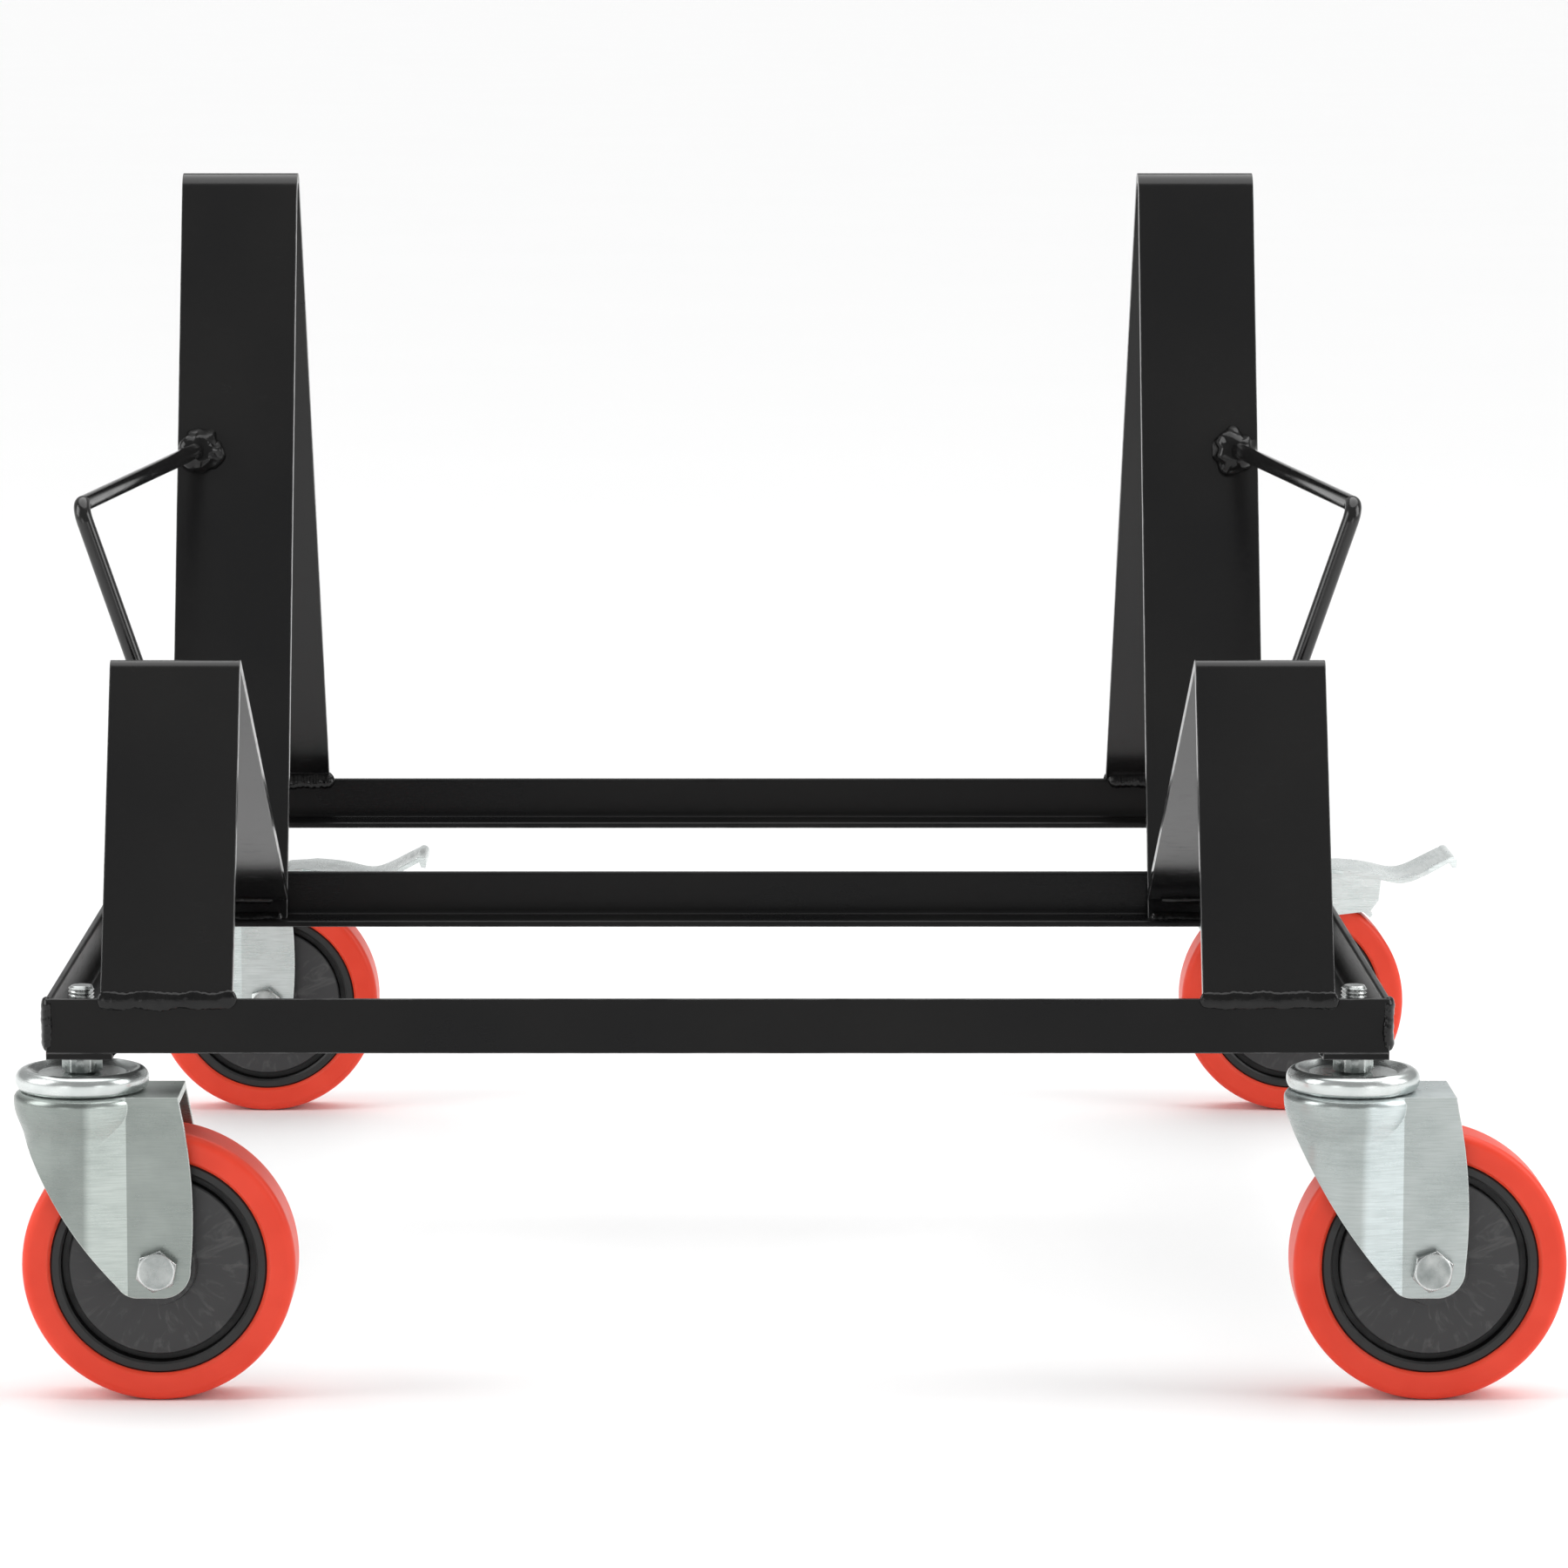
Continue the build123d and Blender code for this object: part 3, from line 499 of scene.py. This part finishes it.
def polar_piece(name, centre, rows, around, material, body, replaced=()):
    """Upright solid whose radius is rows' (height, radius function of the angle) at each level."""
    points = []
    for height, radius in rows:
        for a in range(around):
            turn = 2 * math.pi * a / around
            reach = radius(turn)
            points.append((centre.x + reach * math.cos(turn), centre.y + reach * math.sin(turn),
                           height))
    return new_piece(name, points, tube_faces(len(rows), around), material, body, replaced)


# ---------------------------------------------------------------- caster stems

THREAD_PITCH = 1.75 * MM
THREAD_DEPTH = 0.95 * MM
STEM_AROUND = 72
STEM_RADIUS = 6.0 * MM
RIVET_TIP_RADIUS = 7.5 * MM
RIVET_RADIUS = 9 * MM
HEXAGON_APOTHEM = 0.5 / 0.575      # half the flats over the rounded-off corner radius
HEXAGON_CHAMFER = 1.6 * MM


def round_row(radius):
    return lambda turn: radius


def hexagon_row(apothem, limit):
    """Hexagon with a corner on +X, its corners rounded off at the limit radius."""
    def radius(turn):
        offset = (turn % (math.pi / 3)) - math.pi / 6
        return min(apothem / math.cos(offset), limit)
    return radius


def thread_row(height, outside, fade):
    """One level of a V thread; fade runs it out towards the plain end."""
    def radius(turn):
        phase = (height / THREAD_PITCH + turn / (2 * math.pi)) % 1
        return outside - THREAD_DEPTH * fade * abs(2 * phase - 1)
    return radius


def stem_piece(corner):
    """Kingpin and threaded stem, in place of the plain CAD stem."""
    low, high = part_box(f"{corner}_stem")
    centre = Vector(((low.x + high.x) / 2, (low.y + high.y) / 2, 0))
    cap_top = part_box(f"{corner}_top_raceway")[1].z - 2 * MM
    plate_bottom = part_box("corner_plates")[0].z
    corner_radius = (high.x - low.x) / 2
    apothem = corner_radius * HEXAGON_APOTHEM
    rows = [
        (low.z, round_row(RIVET_TIP_RADIUS)),
        (low.z + 1 * MM, round_row(RIVET_RADIUS)),
        (low.z + 2.5 * MM, round_row(RIVET_RADIUS)),
        (low.z + 2.5 * MM, round_row(STEM_RADIUS)),
        (cap_top, round_row(STEM_RADIUS)),
        (cap_top, hexagon_row(apothem, corner_radius - HEXAGON_CHAMFER)),
        (cap_top + 0.9 * MM, hexagon_row(apothem, corner_radius)),
        (plate_bottom - 0.9 * MM, hexagon_row(apothem, corner_radius)),
        (plate_bottom, hexagon_row(apothem, corner_radius - HEXAGON_CHAMFER)),
        (plate_bottom, round_row(STEM_RADIUS)),
    ]
    levels = round((high.z - plate_bottom) / (THREAD_PITCH / 7))
    for level in range(1, levels + 1):
        height = plate_bottom + (high.z - plate_bottom) * level / levels
        chamfer = max(0.0, height - (high.z - 1.2 * MM))
        fade = 1.0 if chamfer == 0 else 0.5
        rows.append((height, thread_row(height, STEM_RADIUS - chamfer, fade)))
    polar_piece(f"{corner}_threaded_stem", centre, rows, STEM_AROUND, FASTENER,
                "root", [f"{corner}_stem"])


for corner_name in CORNERS:
    stem_piece(corner_name)


# ---------------------------------------------------------------- weld beads

WALL = 3 * MM
SIDES = (("left", -1), ("right", 1))
ROD_END_OFFSET = 264.5 * MM
ROD_HEIGHT = 398 * MM
TALL_FACE_NORMAL = Vector((0, -0.9454, 0.3258))
SHORT_FACE_NORMAL = Vector((0, 0.44, 0.898))


def post_weld_runs(side_name):
    """Beads at the feet of one side's short and tall posts."""
    short_low, short_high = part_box(f"{side_name}_short_post")
    tall_low, tall_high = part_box(f"{side_name}_tall_post")
    x0, x1 = short_low.x - 1.5 * MM, short_high.x + 2 * MM
    foot_y = short_low.y
    crossing_z = short_low.z
    crossing_y = short_high.y
    t0, t1 = tall_low.x, tall_high.x
    rear_y, rear_z = tall_high.y, RAIL_TOP
    return [
        # Short post's foot on the front rail: outside and inside
        ((x0, foot_y + 0.6 * MM, RAIL_TOP - 0.6 * MM),
         (x1, foot_y + 0.6 * MM, RAIL_TOP - 0.6 * MM), (0, -1, 0.1), 4.3 * MM, 2.0 * MM),
        ((x0 + 4 * MM, foot_y + 6.2 * MM, RAIL_TOP),
         (x1 - 5 * MM, foot_y + 6.2 * MM, RAIL_TOP), (0, 1, 0.6), 3.0 * MM, 2.2 * MM),
        # Short post's rear leg against the tall post's front face: above and below
        ((x0 + 2 * MM, crossing_y - 3.6 * MM, crossing_z + 8.4 * MM),
         (x1 - 3 * MM, crossing_y - 3.6 * MM, crossing_z + 8.4 * MM),
         (0, -1, 1.2), 3.4 * MM, 2.6 * MM),
        ((x0 + 8 * MM, crossing_y - 3.0 * MM, crossing_z - 0.2 * MM),
         (x1 - 9 * MM, crossing_y - 3.0 * MM, crossing_z - 0.2 * MM),
         (0, -1, -1), 2.4 * MM, 2.0 * MM),
        # Tall post's foot on the middle rail: front and back
        ((t0 + 1 * MM, tall_low.y - 0.6 * MM, tall_low.z + 0.8 * MM),
         (t1 - 2 * MM, tall_low.y - 0.6 * MM, tall_low.z + 0.8 * MM),
         (0, -1, 1), 3.0 * MM, 2.2 * MM),
        ((t0 + 3 * MM, tall_low.y + 7.2 * MM, tall_low.z + 1.0 * MM),
         (t1 - 3 * MM, tall_low.y + 7.2 * MM, tall_low.z + 1.0 * MM),
         (0, 1, 1), 3.0 * MM, 2.2 * MM),
        # Tall post's rear foot on the rear rail: outside and inside
        ((t0 - 1 * MM, rear_y - 0.8 * MM, rear_z - 0.4 * MM),
         (t1 + 1 * MM, rear_y - 0.8 * MM, rear_z - 0.4 * MM), (0, 1, 0.1), 4.0 * MM, 2.0 * MM),
        ((t0 + 1 * MM, rear_y - 6.6 * MM, rear_z + 0.2 * MM),
         (t1 + 3 * MM, rear_y - 6.6 * MM, rear_z + 0.2 * MM), (0, -1, 0.5), 5.6 * MM, 3.2 * MM),
    ]


def frame_weld_runs(side):
    """Beads at one side's frame corners and where the middle rail meets the side rail."""
    outer_x = MIDDLE_X + side * (RAIL_HIGH.x - RAIL_LOW.x) / 2
    middle_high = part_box("middle_rail")[1]
    runs = []
    for face_y, inward in ((FRONT_Y, 1), (REAR_HIGH.y, -1)):
        seam_y = face_y + inward * WALL
        inner_x = outer_x - side * (WALL + 0.6 * MM)
        runs += [
            ((outer_x - side * 0.3 * MM, seam_y, RAIL_BOTTOM + 0.5 * MM),
             (outer_x - side * 0.3 * MM, seam_y, RAIL_TOP + 0.6 * MM),
             (side, -inward * 0.4, 0), 4.4 * MM, 2.6 * MM),
            ((inner_x, seam_y + inward * 0.6 * MM, RAIL_BOTTOM + WALL),
             (inner_x, seam_y + inward * 0.6 * MM, RAIL_TOP - 1 * MM),
             (-side, inward, 0), 2.4 * MM, 1.9 * MM),
        ]
    inner_x = outer_x - side * (WALL + 0.5 * MM)
    runs += [
        ((inner_x, middle_high.y + 0.4 * MM, RAIL_BOTTOM + WALL + 1 * MM),
         (inner_x, middle_high.y + 0.4 * MM, RAIL_TOP - 1.5 * MM),
         (-side, 1, 0), 2.4 * MM, 1.9 * MM),
        ((inner_x, middle_high.y - WALL - 0.4 * MM, RAIL_BOTTOM + WALL + 1 * MM),
         (inner_x, middle_high.y - WALL - 0.4 * MM, RAIL_TOP - 1.5 * MM),
         (-side, -1, 0), 2.4 * MM, 1.9 * MM),
    ]
    return runs


def plate_weld_runs():
    """Short beads that hold the corner plates to the rails, on the plates' inner edges."""
    low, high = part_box("corner_plates")
    size = 30 * MM
    runs = []
    for side in (-1, 1):
        for end in (-1, 1):
            corner_x = MIDDLE_X + side * (high.x - low.x) / 2
            corner_y = end * (high.y - low.y) / 2
            inner_x, inner_y = corner_x - side * size, corner_y - end * size
            level = high.z - 0.5 * MM
            runs += [
                ((corner_x - side * 4 * MM, inner_y, level),
                 (inner_x + side * 8 * MM, inner_y, level),
                 (0, -end, -0.6), 1.8 * MM, 1.6 * MM),
                ((inner_x, corner_y - end * 4 * MM, level),
                 (inner_x, inner_y + end * 8 * MM, level),
                 (-side, 0, -0.6), 1.8 * MM, 1.6 * MM),
            ]
    return runs


def rod_welds(side_name, side):
    """Lumpy collars where a side rod meets the tall post's face and the short post's rear leg."""
    rod_low, rod_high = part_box(f"{side_name}_side_rod")
    rod_end = MIDDLE_X + side * ROD_END_OFFSET
    upper = Vector((rod_end + side * 3.5 * MM, rod_high.y - 3.8 * MM, ROD_HEIGHT))
    lower = Vector((rod_end + side * 0.6 * MM, rod_low.y + ROD_RADIUS, rod_low.z + 2.2 * MM))
    points = collar(upper, Vector((0, -1, 0)), TALL_FACE_NORMAL, 13.0 * MM, 8.5 * MM, 2.0 + side)
    points += collar(lower, Vector((side * 0.3235, 0, 0.946)), SHORT_FACE_NORMAL,
                     10.5 * MM, 6.5 * MM, 8.0 + side)
    faces = tube_faces(COLLAR_RINGS, COLLAR_AROUND)
    first = len(points) // 2
    faces += [tuple(first + i for i in face) for face in faces]
    new_piece(f"{side_name}_rod_welds", points, faces, WELD)


for side_label, side_sign in SIDES:
    weld_beads(f"{side_label}_post_welds", post_weld_runs(side_label))
    weld_beads(f"{side_label}_frame_welds", frame_weld_runs(side_sign))
    rod_welds(side_label, side_sign)
weld_beads("corner_plate_welds", plate_weld_runs())


# ---------------------------------------------------------------- stage, lights and camera

def add_floor():
    half = FLOOR_HALF
    mesh = bpy.data.meshes.new("floor")
    mesh.from_pydata([(-half, -half, 0), (half, -half, 0), (half, half, 0), (-half, half, 0)], [],
                     [(0, 1, 2, 3)])
    mesh.materials.append(pale_floor())
    floor = bpy.data.objects.new("floor", mesh)
    bpy.context.scene.collection.objects.link(floor)


def aim(thing, target):
    thing.rotation_euler = (Vector(target) - thing.location).to_track_quat("-Z", "Y").to_euler()


def add_light(name, kind, place, target, energy, **settings):
    data = bpy.data.lights.new(name, kind)
    data.energy = energy
    for key, value in settings.items():
        setattr(data, key, value)
    lamp = bpy.data.objects.new(name, data)
    bpy.context.scene.collection.objects.link(lamp)
    lamp.location = place
    aim(lamp, target)


def add_softbox(name, place, energy, width, height):
    add_light(name, "AREA", place, MIDDLE, energy, shape="RECTANGLE", size=width, size_y=height)


def add_world():
    """White surround, as bright as the floor near the horizon and dimmer higher up."""
    world = bpy.data.worlds.new("studio")
    bpy.context.scene.world = world
    world.use_nodes = True
    tree = world.node_tree
    background = tree.nodes["Background"]
    background.inputs["Color"].default_value = (1.0, 1.0, 1.0, 1.0)
    direction = tree.nodes.new("ShaderNodeTexCoord")
    height = tree.nodes.new("ShaderNodeSeparateXYZ")
    fade = tree.nodes.new("ShaderNodeMapRange")
    fade.inputs["From Min"].default_value = FADE_START
    fade.inputs["From Max"].default_value = FADE_END
    fade.inputs["To Min"].default_value = HORIZON_LIGHT
    fade.inputs["To Max"].default_value = OVERHEAD_LIGHT
    tree.links.new(direction.outputs["Generated"], height.inputs["Vector"])
    tree.links.new(height.outputs["Z"], fade.inputs["Value"])
    tree.links.new(fade.outputs["Result"], background.inputs["Strength"])


def add_camera():
    data = bpy.data.cameras.new("camera")
    data.lens = CAMERA_LENS
    data.sensor_width = CAMERA_SENSOR
    data.shift_x = CAMERA_SHIFT
    data.clip_end = 200.0
    camera = bpy.data.objects.new("camera", data)
    bpy.context.scene.collection.objects.link(camera)
    camera.location = (MIDDLE_X, FRONT_Y - CAMERA_DISTANCE, CAMERA_HEIGHT)
    camera.rotation_euler = (math.pi / 2 - CAMERA_PITCH, 0, 0)
    bpy.context.scene.camera = camera


MIDDLE = (MIDDLE_X, 0, AIM_HEIGHT)
add_floor()
add_world()
add_light("overhead_sun", "SUN", (0.3, 1.2, 4.0), MIDDLE, SUN_ENERGY, angle=SUN_ANGLE)
for lamp_name, lamp_x in SIDE_SOFTBOXES:
    add_softbox(lamp_name, (lamp_x, -0.6, 1.5), SIDE_ENERGY, 1.4, 1.8)
for lamp_name, lamp_x in FRONT_QUARTERS:
    add_softbox(lamp_name, (lamp_x, -3.2, 0.55), FRONT_ENERGY, 0.9, 1.1)
add_camera()
bpy.context.scene.view_settings.view_transform = "Standard"
